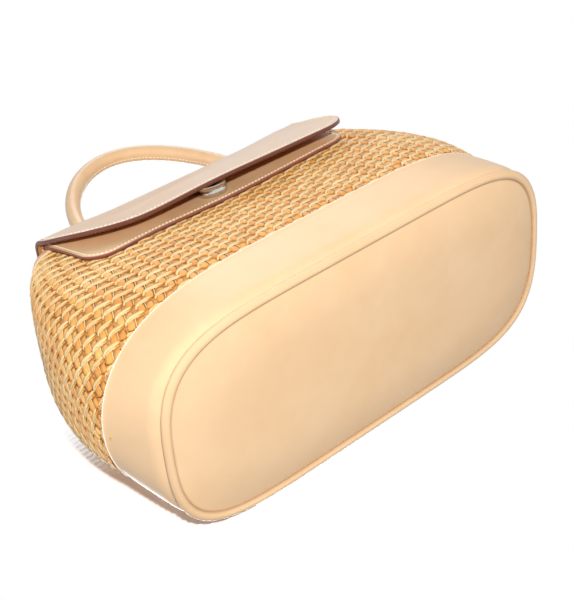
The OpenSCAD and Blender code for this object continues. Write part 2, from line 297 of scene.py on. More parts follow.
# Half length, half depths and corner powers of the wall at a height
def level(z):
    z = np.asarray(z, float)
    low = np.clip((z - bag["pipingZ"]) / (bag["bandHeight"] - bag["pipingZ"]), 0, 1)
    up = np.clip((z - bag["bandHeight"]) / (bag["rimHeight"] - bag["bandHeight"]), 0, 1)

    def between(base, band, rim, share=up):
        return np.where(z > bag["bandHeight"], mixed(bag[band], bag[rim], share),
                        mixed(bag[base], bag[band], low))
    return (between("baseLength", "bandLength", "rimLength", up ** bag["endSwell"]) / 2,
            between("baseDepth", "bandDepth", "rimDepth") / 2,
            between("baseDepth", "bandDepth", "rimCorner") / 2,
            between("baseSide", "bandSide", "rimSide"),
            between("baseEnd", "bandEnd", "rimEnd"))


# Point of the wall in a direction, at a height, moved in from the weave's crests
def wall(angle, z, inset=0.0):
    angle, z, inset = np.broadcast_arrays(*[np.asarray(given, float) for given in (angle, z, inset)])
    halfLength, halfDepth, cornerDepth, side, end = level(z)
    c, s = np.abs(np.cos(angle)), np.abs(np.sin(angle))
    low, high = np.ones_like(angle), np.full_like(angle, 1.5)
    for _ in range(30):
        k = (low + high) / 2
        outside = (k * c) ** side + (k * s) ** end > 1
        low, high = np.where(outside, low, k), np.where(outside, k, high)
    x = (halfLength - inset) * k * np.cos(angle)
    depth = mixed(halfDepth, cornerDepth, ease(np.abs(x) / (halfLength * bag["swellShare"]))) - inset
    return np.stack([x, depth * k * np.sin(angle), z], -1)


# A ring of the wall's outline at one level, laid at another height
def ringAt(angles, z, inset, height):
    ring = wall(angles, z, inset)
    ring[:, 2] = height
    return ring


# Depth of the front wall at a place along the bag
def frontY(x, z, inset):
    halfLength, halfDepth, cornerDepth, side, end = level(z)
    depth = mixed(halfDepth, cornerDepth, ease(np.abs(x) / (halfLength * bag["swellShare"]))) - inset
    inside = np.clip(1 - (np.abs(x) / (halfLength - inset)) ** side, 0, 1)
    return -depth * inside ** (1 / end)


tableAngles = np.linspace(0, 2 * np.pi, bag["girthSteps"] + 1)
tableRun = runAlong(wall(tableAngles, bag["bandHeight"]))
girth = tableRun[-1]


# Directions that space points evenly round the bag
def evenAngles(count):
    return np.interp(np.arange(count) * girth / count, tableRun, tableAngles)


def addObject(name, data):
    piece = bpy.data.objects.new(name, data)
    scene.collection.objects.link(piece)
    return piece


# Values or vectors kept on a mesh's points, for its material or its node tree
def writeMarks(mesh, marks):
    for key, values in marks.items():
        values = np.asarray(values, np.float32)
        kind, field = ("FLOAT", "value") if values.ndim == 1 else ("FLOAT_VECTOR", "vector")
        mesh.attributes.new(key, kind, "POINT").data.foreach_set(field, values.ravel())


def smoothMesh(mesh, smooth=True):
    mesh.polygons.foreach_set("use_smooth", np.full(len(mesh.polygons), smooth))


# Joins points that meet and turns the faces outwards
def turnOut(mesh):
    bm = bmesh.new()
    bm.from_mesh(mesh)
    bmesh.ops.remove_doubles(bm, verts=bm.verts, dist=1e-6)
    bmesh.ops.recalc_face_normals(bm, faces=bm.faces)
    bm.to_mesh(mesh)
    bm.free()


# Finishes are given by their keys, and kinds say which of them a face has
def makePiece(name, points, faces=(), keys=(), kinds=(), smooth=True, marks=None, edges=(), solid=False):
    mesh = bpy.data.meshes.new(name)
    mesh.from_pydata((np.asarray(points, float) * mm).tolist(), list(edges), [list(map(int, f)) for f in faces])
    for key in keys:
        mesh.materials.append(finishes[key])
    if len(kinds):
        mesh.polygons.foreach_set("material_index", np.asarray(kinds, np.int32))
    smoothMesh(mesh, smooth)
    writeMarks(mesh, marks or {})
    mesh.validate()
    mesh.update()
    if solid:
        turnOut(mesh)
    return addObject(name, mesh)


# Faces between rings of the same count: a tube with caps, or one that closes on itself
def ringFaces(rings, count, closed=False):
    faces = []
    for i in range(rings if closed else rings - 1):
        k = (i + 1) % rings
        for j in range(count):
            n = (j + 1) % count
            faces.append((i * count + j, i * count + n, k * count + n, k * count + j))
    if not closed:
        faces += [range(count)[::-1], range((rings - 1) * count, rings * count)]
    return faces


def gridFaces(rows, columns):
    return [(i * columns + j, i * columns + j + 1, (i + 1) * columns + j + 1, (i + 1) * columns + j)
            for i in range(rows - 1) for j in range(columns - 1)]


# Points round the rim of a grid of points
def gridRim(rows, columns):
    rim = [(0, j) for j in range(columns)] + [(i, columns - 1) for i in range(1, rows)]
    rim += [(rows - 1, j) for j in range(columns - 2, -1, -1)] + [(i, 0) for i in range(rows - 2, 0, -1)]
    return [i * columns + j for i, j in rim]


# A solid from rings of points, with kinds for its first rows of faces and marks for its first rings
def ringPiece(name, rings, *keys, closed=False, kinds=(), smooth=True, marks=None):
    count = len(rings[0])
    faces = ringFaces(len(rings), count, closed)
    kinds = np.repeat(np.pad(kinds, (0, len(rings) - len(kinds))), count)[:len(faces)] if kinds else ()
    marks = {key: np.repeat(np.pad(values, (0, len(rings) - len(values))), count)
             for key, values in (marks or {}).items()}
    return makePiece(name, np.concatenate(rings), faces, keys, kinds, smooth, marks, solid=True)


def settle(piece, body, slot, *nodes):
    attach(piece, body)
    if nodes:
        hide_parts(*nodes)
    return piece


# Base panel: flat where the bag stands, crowned towards the piping
panel = {"border": 34, "borderShares": (0, 0.02, 0.05, 0.1, 0.17, 0.25, 0.35, 0.47, 0.6, 0.75, 0.9, 1.0),
         "crown": 4.2, "curve": 2.0, "top": 4.8, "seamIn": 0.6, "spine": 95,
         "flatShares": (0.25, 0.5, 0.75, 0.97), "grooveShadeMarks": (1.0, 1.0, 0.45), "points": 192}


def makeBasePanel():
    angles = evenAngles(panel["points"])
    inset = 2 * bag["pipingRadius"] - panel["seamIn"]
    rings = [ringAt(angles, bag["pipingZ"], inset, panel["top"])]
    for share in panel["borderShares"]:
        rings.append(ringAt(angles, bag["pipingZ"], inset + share * panel["border"],
                            panel["crown"] * (1 - share) ** panel["curve"]))
    flat = rings[-1]
    spine = np.clip(flat[:, 0], -panel["spine"], panel["spine"])
    for share in panel["flatShares"]:
        ring = flat.copy()
        ring[:, 0] = mixed(flat[:, 0], spine, share)
        ring[:, 1] = flat[:, 1] * (1 - share)
        rings.append(ring)
    # painted shade on its rings next to the piping
    piece = ringPiece("basePanel", rings, "tan", marks={"seam": panel["grooveShadeMarks"]})
    settle(piece, "bag_body", "base_leather", "base_panel")


# Piping: leather over a cord, all round the base seam; the painted shade of its two seams and its crest as
# turn, width and strength
piping = {"seams": ((3.6, 0.35, 1.0), (1.0, 0.3, 0.8)), "crest": (5.5, 0.4, 0.25), "points": 192, "around": 16}


def makePiping():
    angles = evenAngles(piping["points"])
    z, r = bag["pipingZ"], bag["pipingRadius"]
    turns = np.arange(piping["around"]) * 2 * np.pi / piping["around"]
    rings = [ringAt(angles, z, r - r * np.cos(turn), z + r * np.sin(turn)) for turn in turns]
    # painted shade where the cord goes into its two seams, rubbed on its outer crest
    seam = np.minimum(sum(hump(turns, *place) for place in piping["seams"]), 1)
    piece = ringPiece("basePiping", rings, "tan", closed=True,
                      marks={"seam": seam, "wear": hump(turns, *piping["crest"])})
    settle(piece, "bag_body", "base_leather", "base_piping")


# Leather band: rolled into the seam below, cut clean above with a pale raw edge
# The edge's section is given as drop from the top and inset
band = {"low": 7.4, "roll": 10, "rollDepth": 3.0, "rollCurve": 2.4, "wallSteps": 8, "pale": 0.9,
        "rollShares": (0, 0.08, 0.2, 0.35, 0.55, 0.8, 1.0),
        "edge": ((0.45, -0.15), (0.3, 0.0), (0.0, 0.4), (0.0, 1.5), (0.6, 2.0)),
        "backSteps": 5, "backInset": 3.6, "grooveShadeMarks": (0.7, 0.2), "points": 192}


def makeBand():
    angles, top = evenAngles(band["points"]), bag["bandHeight"]
    section = [(band["low"] + share * band["roll"], band["rollDepth"] * (1 - share) ** band["rollCurve"])
               for share in band["rollShares"]]
    rolled = band["low"] + band["roll"]
    section += [(z, 0.0) for z in np.linspace(rolled, top - band["pale"], band["wallSteps"])[1:]]
    kinds = [0] * (len(section) - 1) + [1] * (len(band["edge"]) - 1)
    section += [(top - drop, inset) for drop, inset in band["edge"]]
    section += [(z, band["backInset"]) for z in np.linspace(section[-1][0], band["low"], band["backSteps"])[1:]]
    rings = [wall(angles, z, inset) for z, inset in section]
    # painted shade on the roll into the seam below
    piece = ringPiece("baseBand", rings, "tan", "rawEdge", closed=True, kinds=kinds,
                      marks={"seam": band["grooveShadeMarks"]})
    settle(piece, "bag_body", "base_leather", "base_band")


makeBasePanel()
makePiping()
makeBand()
print("base: panel, piping and band")


# Board, lining and rim binding inside the mouth
inside = {"boardInset": 6.6, "boardLow": 5, "boardTop": 8,
          "liningHeights": (8.2, 16, 28, 40, 56, 72, 88, 104, 120, 136, 152, 168, 184, 196, 205.6),
          "liningInset": 5.9, "liningInner": 7.1, "slack": 0.35, "slackTurn": 3.1,
          "floorZ": 9.0, "floorInset": 7.3, "bindingLow": 197, "bindingOuter": 0.4, "bindingInner": 7.9,
          "points": 128}


def makeInside():
    angles = evenAngles(inside["points"])
    rings = [ringAt(angles, bag["pipingZ"], inside["boardInset"], inside[z]) for z in ("boardLow", "boardTop")]
    board = ringPiece("baseBoard", rings, "board", smooth=False)
    settle(board, "bag_body", "board", "base_board")

    # the cloth hangs a little slack between the base and the mouth
    rings = [wall(angles, z, inside["liningInset"]) for z in inside["liningHeights"]]
    rings += [wall(angles, z, inside["liningInner"] + inside["slack"] * math.sin(inside["slackTurn"] * i))
              for i, z in enumerate(inside["liningHeights"])][::-1]
    rings.append(wall(angles, inside["floorZ"], inside["floorInset"]))
    lining = ringPiece("liningCloth", rings, "lining")
    settle(lining, "bag_body", "lining_cloth", "lining")

    # up the outside of the binding, over the rim, down the inside and back along its underside
    low, rim = inside["bindingLow"], bag["rimHeight"]
    a, b = inside["bindingOuter"], inside["bindingInner"]
    section = [(low, a + 0.5), (low + 0.3, a), (low + 4, a - 0.1), (rim - 0.6, a), (rim + 0.6, a + 0.5),
               (rim + 1.25, a + 1.6), (rim + 1.3, (a + b) / 2), (rim + 1.25, b - 1.6), (rim + 0.6, b - 0.4),
               (rim - 0.6, b), (low + 0.3, b), (low, b - 0.5), (low, b - 1.1), (rim - 0.2, b - 1.2),
               (rim + 0.2, b - 2), (rim + 0.2, a + 2), (rim - 0.2, a + 1.1), (low, a + 1.0)]
    rings = [ringAt(angles, min(z, rim), inset, z) for z, inset in section]
    binding = ringPiece("rimBinding", rings, "tan", closed=True)
    settle(binding, "bag_body", "flap_leather", "rim_binding")


makeInside()
print("inside: board, lining and binding")


# Geometry Nodes: a tree with named inputs, and its result as a plain mesh
def geometryTree(name, inputs):
    tree = bpy.data.node_groups.new(name, "GeometryNodeTree")
    tree.interface.new_socket("Geometry", in_out="INPUT", socket_type="NodeSocketGeometry")
    for label, kind in inputs.items():
        tree.interface.new_socket(label, in_out="INPUT", socket_type="NodeSocket" + kind)
    tree.interface.new_socket("Geometry", in_out="OUTPUT", socket_type="NodeSocketGeometry")
    source = tree.nodes.new("NodeGroupInput")
    return tree, {o.name: Sock(tree, o) for o in source.outputs if o.name}


def endTree(tree, geometry, material):
    real = make(tree, "GeometryNodeRealizeInstances", None, {"Geometry": geometry})
    done = make(tree, "GeometryNodeSetMaterial", None, {"Geometry": real, "Material": material})
    tree.links.new(done.out, tree.nodes.new("NodeGroupOutput").inputs[0])


def namedInput(tree, key, kind="FLOAT_VECTOR"):
    return make(tree, "GeometryNodeInputNamedAttribute", {"data_type": kind}, {"Name": key})


def randomValue(tree, seed, low=0.0, high=1.0):
    return make(tree, "FunctionNodeRandomValue", {"data_type": "FLOAT"},
                {"Min": low, "Max": high, "Seed": seed}, out=1)


# Copies of an object on points: z out of the surface, x along it, then swung round z
def copies(tree, points, thing, along, angle, sockets=None):
    turn = make(tree, "FunctionNodeAxesToRotation", {"primary_axis": "Z", "secondary_axis": "X"},
                {"Primary Axis": namedInput(tree, "out"), "Secondary Axis": along})
    swing = make(tree, "FunctionNodeAxisAngleToRotation", None, {"Axis": (0, 0, 1), "Angle": angle})
    swung = make(tree, "FunctionNodeRotateRotation", {"rotation_space": "LOCAL"},
                 {"Rotation": turn, "Rotate By": swing})
    shape = make(tree, "GeometryNodeObjectInfo", None, {"Object": thing}, out=4)
    return make(tree, "GeometryNodeInstanceOnPoints", None,
                {"Points": points, "Instance": shape, "Rotation": swung, **(sockets or {})})


def grow(name, source, tree, values):
    ids = {i.name: i.identifier for i in tree.interface.items_tree if i.in_out == "INPUT"}
    modifier = source.modifiers.new("grow", "NODES")
    modifier.node_group = tree
    for label, value in values.items():
        modifier[ids[label]] = value
    bpy.context.view_layer.update()
    graph = bpy.context.evaluated_depsgraph_get()
    mesh = bpy.data.meshes.new_from_object(source.evaluated_get(graph))
    source.modifiers.remove(modifier)
    bpy.data.objects.remove(source)
    smoothMesh(mesh)
    mesh.name = name
    return addObject(name, mesh)


# A tube along points in a cell, flattened, with its place kept for the straw's tones and its painted lighting:
# lit on top, painted shade beneath
def strandMesh(path, widths, heights, sides):
    path = np.asarray(path, float)
    ahead = unit(np.gradient(path, axis=0))
    across = unit(np.cross(np.array([0, 0, 1.0]), ahead))
    over = np.cross(ahead, across)
    points, places, paintedLighting = [], [], []
    for p, a, o, w, h, r in zip(path, across, over, widths, heights, runAlong(path)):
        for k in range(sides):
            turn = 2 * math.pi * (k + 0.5) / sides
            aside, up = w / 2 * math.cos(turn), h / 2 * math.sin(turn)
            points.append(p + a * aside + o * up)
            places.append((r, aside, up))
            # painted shade: ends that dive into the weave are dark all round
            paintedLighting.append(0.5 + 0.5 * math.sin(turn) if p[2] > 0.3 else 0.2)
    return points, ringFaces(len(path), sides), places, paintedLighting


# Flat pillow of straw between strands, closed underneath, with painted shade towards its edges
lump = {"grid": (-1, -0.8, 0, 0.8, 1), "power": 4, "crown": 0.3, "rounding": 0.1, "root": -0.8}


def lumpMesh(centre, width, height, rise, lean):
    points, places, paintedLighting = [], [], []
    for v in lump["grid"]:
        for u in lump["grid"]:
            crown = ((1 - u ** lump["power"]) * (1 - v ** lump["power"])) ** lump["crown"]
            edge = 1 - lump["rounding"] * (u * v) ** 2
            points.append((centre[0] + u * edge * width / 2 + lean * v, centre[1] + v * edge * height / 2,
                           lump["root"] + (rise - lump["root"]) * crown))
            places.append((centre[0] + u * width / 2, centre[1] + v * height / 2, 0))
            # painted shade: lit at the crown, darker towards the lump's edges
            paintedLighting.append(crown)
    size = len(lump["grid"])
    return points, gridFaces(size, size) + [gridRim(size, size)[::-1]], places, paintedLighting


def cellPiece(name, parts):
    points, faces, places, paintedLighting = [], [], [], []
    for p, f, q, r in parts:
        faces += [[i + len(points) for i in face] for face in f]
        points += p
        places += q
        paintedLighting += r
    piece = makePiece(name, points, faces, solid=True)
    # the mark rise carries the painted lighting of strands and lumps
    writeMarks(piece.data, {"strandPlace": np.array(places) * mm, "rise": paintedLighting})
    return piece


# Front facing: leather strip on the weave below the mouth, its lower edge bowed up towards the right
facing = {"half": 119.0, "low": 137.0, "top": 205.7, "corners": ((18.0, 18.0), (18.0, 18.0)), "thickness": 2.0,
          "clear": 1.3, "stitchIn": 3.2, "stitchTop": 5.0, "stitchGrid": (64, 61),
          "bow": 5.0, "bowAlong": (-110.0, 60.0), "bowUp": (0.0, 45.0)}


# Weave: staggered columns of pale strands over pairs of golden lumps, on a plain ground
# Pairs after "under" and "facingEnds" are where the cells start to be pressed in and over what run
weave = {"columns": 76, "rowPitch": 9.7, "low": 57.0, "high": 203.0, "inset": 1.0, "seed": 4, "step": 2,
         "stagger": 0.5, "start": 0.2, "swing": 0.11, "wander": 0.08,
         "bandTuck": 1.6, "mouthTuck": 1.8, "facingTuck": 1.4,
         "underBand": (-2, 5), "underBinding": (190, 6), "underFacing": (-1, 5), "facingEnds": (-3, 6),
         "tiltPlaces": (0, 0.05, 0.12, 0.18, 0.25, 0.35, 0.6, 0.85, 0.95, 1),
         "tilts": (-24, -40, -42, -33, -22, -13, -9, -5, -8, -24),
         "groundHeights": (41, 50, 52.6, 55, 70, 85, 100, 115, 130, 145, 160, 172, 182, 190, 198, 205.8),
         "groundPoints": 176, "groundInset": 1.7, "groundInner": 5.0, "groundToneAndShade": 0.5,
         "bandTop": 54, "bandInset": 2.9}

# One cell's strands as path, widths, heights and sides: x runs along the bag, y up its wall, z out of it
# Each brow's ends meet those of the next columns
paleStrands = (
    (((-6.3, -4.2, -0.5), (-5.5, -2.8, 0.4), (-4.4, -1.2, 0.85), (-2.4, -0.2, 1.1), (0.6, 0.1, 1.15),
      (3.2, 0.5, 1.0), (5.2, 1.0, 0.6), (6.3, 1.5, -0.3)),
     (1.4, 2.0, 2.6, 3.0, 3.0, 2.6, 2.0, 1.3), (0.8,) * 8, 5),
    (((-4.6, -4.6, 0.5), (-3.4, -2.6, 0.9), (-0.8, -1.9, 1.1), (2.6, -1.5, 0.95), (5.4, -0.7, 0.1)),
     (0.8, 1.3, 1.5, 1.4, 0.9), (0.6, 0.7, 0.7, 0.7, 0.6), 4),
    (((0.2, -0.8, 0.5), (0.4, -3.2, 0.7), (0.4, -6.0, 0.65), (0.3, -8.2, 0.1)),
     (0.8, 0.85, 0.85, 0.8), (0.6,) * 4, 4))
goldenStrands = (
    (((0.8, -3.0, 0.2), (2.4, -1.9, 0.75), (4.4, -1.4, 0.75), (6.2, -0.8, 0.0)),
     (1.0, 1.5, 1.5, 1.0), (0.7, 0.8, 0.8, 0.7), 4),
    (((1.2, -1.7, 0.1), (3.0, -0.8, 0.6), (5.6, -0.1, 0.1)), (1.0, 1.4, 1.0), (0.6, 0.8, 0.6), 4))
# Its lumps as centre, width, height, rise and lean
goldenLumps = (((-2.75, -4.9), 5.3, 8.6, 1.2, 0.12), ((3.1, -5.7), 5.2, 6.6, 1.1, 0.12))


# How far the cells are pressed in under the band, the binding and the facings
def weaveTuck(x, y, z):
    low = facing["low"] + (facing["bow"] * ramp(x, *facing["bowAlong"]) if y < 0 else 0)
    underFacing = ramp(z - low, *weave["underFacing"]) * ramp(facing["half"] - abs(x), *weave["facingEnds"])
    return float(max(weave["bandTuck"] * ramp(weave["low"] - z, *weave["underBand"]),
                     weave["mouthTuck"] * ramp(z, *weave["underBinding"]), weave["facingTuck"] * underFacing))


def makeGround():
    angles, heights = evenAngles(weave["groundPoints"]), weave["groundHeights"]
    rings = [wall(angles, z, weave["bandInset" if z < weave["bandTop"] else "groundInset"]) for z in heights]
    rings += [wall(angles, z, weave["groundInner"]) for z in heights[::-1]]
    ground = ringPiece("wovenGround", rings, "wall", closed=True)
    places = np.array([v.co for v in ground.data.vertices])
    # one even tone for the ground, and a fixed share of the straw's painted shade
    even = np.full(len(places), weave["groundToneAndShade"])
    writeMarks(ground.data, {"strandPlace": places, "tone": even, "rise": even})
    settle(ground, "bag_body", "straw", "woven_body")


# Where the cells stand, with their directions along and out of the wall and their share of a column's width
def weavePlaces():
    angles = evenAngles(weave["columns"] * 2)
    points, along, up, wide, turned = [], [], [], [], []
    for column in range(weave["columns"]):
        tilt = math.radians(np.interp(2 * column / weave["columns"] % 1, weave["tiltPlaces"], weave["tilts"]))
        middle, left, right = angles[2 * column], angles[2 * column - 1], angles[(2 * column + 1) % len(angles)]
        z = weave["low"] + (weave["stagger"] * (column % 2) - weave["start"]) * weave["rowPitch"]
        while z < weave["high"]:
            inset = weave["inset"] + weaveTuck(*wall(middle, z))
            side = wall(right, z, inset) - wall(left, z, inset)
            rise = wall(middle, z + weave["step"], inset) - wall(middle, z - weave["step"], inset)
            points.append(wall(middle, z, inset))
            along.append(unit(side))
            up.append(unit(rise))
            wide.append(np.linalg.norm(side) / (girth / weave["columns"]))
            turned.append(tilt)
            z += weave["rowPitch"] * 2 * weave["step"] / np.linalg.norm(rise)
    along, up, turned = np.array(along), np.array(up), np.array(turned)[:, None]
    marks = {"along": along * np.cos(turned) + up * np.sin(turned), "out": np.cross(along, up), "wide": wide}
    print("weave cells:", len(points))
    return points, marks


def weaveTree():
    tree, given = geometryTree("woven cells", {
        "Cell": "Object", "Wander": "Float", "Swing": "Float", "Seed": "Int", "Material": "Material"})
    swing = randomValue(tree, given["Seed"], given["Swing"] * -1.0, given["Swing"])
    grown = randomValue(tree, given["Seed"] + 1, 1.0 - given["Wander"], 1.0 + given["Wander"])
    tone = randomValue(tree, given["Seed"] + 2)
    wide = namedInput(tree, "wide", "FLOAT") * grown
    size = make(tree, "ShaderNodeCombineXYZ", None, {0: wide, 1: grown, 2: grown})
    placed = copies(tree, given["Geometry"], given["Cell"], namedInput(tree, "along"), swing, {"Scale": size})
    toned = make(tree, "GeometryNodeStoreNamedAttribute", {"data_type": "FLOAT", "domain": "INSTANCE"},
                 {"Geometry": placed, "Name": "tone", "Value": tone})
    endTree(tree, toned, given["Material"])
    return tree


def makeWeave():
    makeGround()
    points, marks = weavePlaces()
    tree = weaveTree()
    pale = cellPiece("paleCell", [strandMesh(*strand) for strand in paleStrands])
    golden = cellPiece("goldenCell", [lumpMesh(*pillow) for pillow in goldenLumps]
                       + [strandMesh(*strand) for strand in goldenStrands])
    for name, cell, finish in (("paleStrands", pale, "pale"), ("goldenLumps", golden, "lump")):
        piece = grow(name, makePiece(name + "Points", points, marks=marks), tree, {
            "Cell": cell, "Material": finishes[finish], "Seed": weave["seed"],
            "Wander": weave["wander"], "Swing": weave["swing"]})
        bpy.data.objects.remove(cell)
        settle(piece, "bag_body", "straw")
        print(name, len(piece.data.polygons), "faces")


makeWeave()


# Stitches: waxed thread along a path, each a capsule shaped in shares of its length and thickness
stitch = {"places": (-0.5, -0.36, 0, 0.36, 0.5), "lifts": (-0.9, 0.0, 0.25, 0.0, -0.9),
          "widths": (0.5, 0.9, 1.0, 0.9, 0.5), "sides": 6, "above": 0.12}


def stitchTree():
    tree, given = geometryTree("stitch row", {
        "Stitch": "Object", "Pitch": "Float", "Slant": "Float", "Material": "Material"})
    line = make(tree, "GeometryNodeMeshToCurve", None, {"Mesh": given["Geometry"]})
    spaced = make(tree, "GeometryNodeResampleCurve", {"mode": "LENGTH"},
                  {"Curve": line, "Length": given["Pitch"]})
    ahead = make(tree, "GeometryNodeInputTangent")
    endTree(tree, copies(tree, spaced, given["Stitch"], ahead, given["Slant"]), given["Material"])
    return tree


stitchRow = stitchTree()


# paths: lists of (points, outward directions), in millimetres
def sew(name, paths, body, slot, pitch=3.1, length=2.3, thick=0.75, slant=0.12, finish="thread"):
    edges, start = [], 0
    for points, _ in paths:
        edges += [(start + i, start + i + 1) for i in range(len(points) - 1)]
        start += len(points)
    source = makePiece(name, np.concatenate([p for p, _ in paths]), edges=edges,
                       marks={"out": np.concatenate([o for _, o in paths])})
    x, z = np.array(stitch["places"]) * length, np.array(stitch["lifts"]) * thick
    taper = np.array(stitch["widths"]) * thick
    points, faces, _, _ = strandMesh(np.stack([x, 0 * x, z], 1), taper, taper, stitch["sides"])
    single = makePiece("stitch", points, faces, solid=True)
    piece = grow(name, source, stitchRow, {
        "Stitch": single, "Pitch": pitch * mm, "Slant": slant, "Material": finishes[finish]})
    bpy.data.objects.remove(single)
    return settle(piece, body, slot)


# A leather strip with rounded ends: rows across it, each as wide as the outline there
def stripRows(low, high, halfWidth, cornersLow, cornersHigh, inset, rows, columns):
    v = mixed(low + inset, high - inset, (1 - np.cos(np.linspace(0, np.pi, rows))) / 2)
    ends = []
    for side in (0, 1):
        half = halfWidth(v) - inset
        for corners, d in ((cornersLow, v - (low + inset)), (cornersHigh, (high - inset) - v)):
            if corners:
                across, along = [max(radius - inset, 0.5) for radius in corners[side]]
                near = np.clip(1 - d / along, 0, 1)
                half = half - across * (1 - np.sqrt(1 - near * near))
        ends.append(half[:, None])
    u = np.sin(np.linspace(-np.pi / 2, np.pi / 2, columns))[None, :]
    return u * np.where(u < 0, ends[0], ends[1]), np.repeat(v[:, None], columns, 1)


# Points on a side of a strip's mid surface, with the directions out of it
def stripFace(strip, inset, rows, columns, share, lift=0.0, step=0.2):
    u, v = strip["outline"](inset, rows, columns)
    surface = strip["surface"]
    normal = unit(np.cross(surface(u + step, v) - surface(u - step, v),
                           surface(u, v + step) - surface(u, v - step)))
    points = surface(u, v) + normal * share * (strip["thickness"](v)[..., None] / 2 + lift)
    return points.reshape(-1, 3), normal.reshape(-1, 3), v.ravel()


# Rings of a strip's rounded painted edge, as shares of its lip and its half thickness
stripEdge = ((0.12, 0.72), (0.0, 0.35), (0.0, -0.35), (0.12, -0.72))


def leatherStrip(name, strip, keys, rows=48, columns=41, lip=0.7):
    size = rows * columns
    rim = np.array(gridRim(rows, columns))
    sides = [stripFace(strip, lip, rows, columns, share)[0] for share in (1.0, -1.0)]
    bands = [stripFace(strip, inset * lip, rows, columns, share)[0][rim] for inset, share in stripEdge]
    faces, kinds = [], []
    for q in gridFaces(rows, columns):
        faces += [q, [k + size for k in q[::-1]]]
        kinds += [0, 1]
    loops = [rim] + [2 * size + i * len(rim) + np.arange(len(rim)) for i in range(len(bands))] + [rim + size]
    for a, b in zip(loops[:-1], loops[1:]):
        for k in range(len(rim)):
            n = (k + 1) % len(rim)
            faces.append([a[k], a[n], b[n], b[k]])
            kinds.append(2)
    # rubbed along the edge of both faces
    wear = np.full((rows, columns), 0.5)
    wear[1:-1, 1:-1] = 0.25
    wear[2:-2, 2:-2] = 0.0
    wear = np.concatenate([wear.ravel()] * 2 + [np.zeros(len(bands) * len(rim))])
    return makePiece(name, np.concatenate(sides + bands), faces, keys, kinds, marks={"wear": wear}, solid=True)


# Lines of points inside a strip's outline where keep(v) holds, with the directions out of its face
def stripLines(strip, inset, grid, side, keep):
    rim = gridRim(*grid)
    points, normal, v = [values[rim] for values in stripFace(strip, inset, *grid, side, stitch["above"])]
    good = keep(v)
    order = np.roll(np.arange(len(rim)), -int(np.argmin(good)))
    lines = np.split(order, np.flatnonzero(np.diff(good[order])) + 1)
    return [(points[line], normal[line] * side) for line in lines if good[line[0]] and len(line) > 2]


def facingSurface(u, v):
    z = v + facing["bow"] * ramp(u, *facing["bowAlong"]) * (1 - ramp(v - facing["low"], *facing["bowUp"]))
    return np.stack([u, frontY(u, z, -facing["clear"]), z], -1)


def facingOutline(inset, rows, columns):
    return stripRows(facing["low"], facing["top"], lambda v: np.full_like(v, facing["half"]),
                     facing["corners"], None, inset, rows, columns)


def makeFacing():
    strip = {"surface": facingSurface, "outline": facingOutline,
             "thickness": lambda v: np.full_like(v, facing["thickness"])}
    piece = leatherStrip("frontFacing", strip, ("facing", "inner", "edge"))
    settle(piece, "bag_body", "flap_leather", "front_facing")
    lines = stripLines(strip, facing["stitchIn"], facing["stitchGrid"], 1,
                       lambda v: v < facing["top"] - facing["stitchTop"])
    sew("facingStitches", lines, "bag_body", "flap_leather")


makeFacing()


# Flap: one leather from the back facing over the mouth and down the front, with its ends a little sprung
# Pairs such as "dishUp" are where a change starts and over what run: Along the bag, Up the leather
flap = {"half": 125.0, "aside": 2.5, "asideUp": (0, 40), "backHalf": 119.0, "backLow": 137.0, "backTop": 203.0,
        "corners": ((58.0, 56.0), (34.0, 44.0)), "backCorners": ((18.0, 18.0), (18.0, 18.0)), "clear": 1.3,
        "hingeZ": 209.4, "hingeSteps": 60, "thickness": 3.0, "backThickness": 2.0,
        "foldY": -43.0, "foldZ": 200.9, "fold": 10.0, "splay": 19.71, "low": 147.0,
        "flatSteps": 40, "bendSteps": 14, "foldSteps": 24, "halfUp": (-12, 20), "thicknessUp": (-10, 16),
        "slant": 0.18, "dishUp": (-4, 34), "springRight": 0.6, "rightAlong": (20, 100),
        "springLeft": 1.3, "leftAlong": (60, 60), "springUp": (-6, 40), "press": (-69.0, 45.0, 3.0),
        "pullMiddle": 2.8, "pullEnds": 1.0, "pullAlong": (55, 50), "pullUp": (-30, 30), "pullFade": (0, 26),
        "tuckRight": 8.0, "tuckAlong": (40, 80), "tuckFade": (0, 45),
        "grid": (150, 61), "lip": 0.8, "stitchIn": 4.2, "stitchGrid": (180, 61), "stitchAway": 14.0}


# The flap's middle section from the back's lower edge to the front's, with the ends of its bend, top and fold
def flapPath():
    splay = math.radians(flap["splay"])
    mid = flap["fold"] - flap["thickness"] / 2
    top = flap["foldZ"] + mid
    points = [(float(-frontY(0.0, z, -flap["clear"])), z)
              for z in np.linspace(flap["backLow"], flap["backTop"], flap["flatSteps"])]
    y, z = points[-1]
    bend = top - z
    points += [(y - bend * (1 - math.cos(turn)), z + bend * math.sin(turn))
               for turn in np.linspace(0, math.pi / 2, flap["bendSteps"])[1:]]
    ends = [len(points) - 1]
    points += [(y, top) for y in np.linspace(points[-1][0], flap["foldY"], flap["flatSteps"])[1:]]
    ends.append(len(points) - 1)
    points += [(flap["foldY"] + mid * math.cos(turn), flap["foldZ"] + mid * math.sin(turn))
               for turn in np.linspace(math.pi / 2, math.pi - splay, flap["foldSteps"])[1:]]
    ends.append(len(points) - 1)
    y, z = points[-1]
    points += [(y - d * math.sin(splay), z - d * math.cos(splay))
               for d in np.linspace(0, (z - flap["low"]) / math.cos(splay), flap["flatSteps"])[1:]]
    return np.array(points), ends


flapPoints, flapEnds = flapPath()
flapRun = runAlong(flapPoints)
bendRun, foldRun, frontRun = flapRun[flapEnds]
hingeRun = float(np.interp(flap["hingeZ"], flapPoints[:flap["hingeSteps"], 1], flapRun[:flap["hingeSteps"]]))


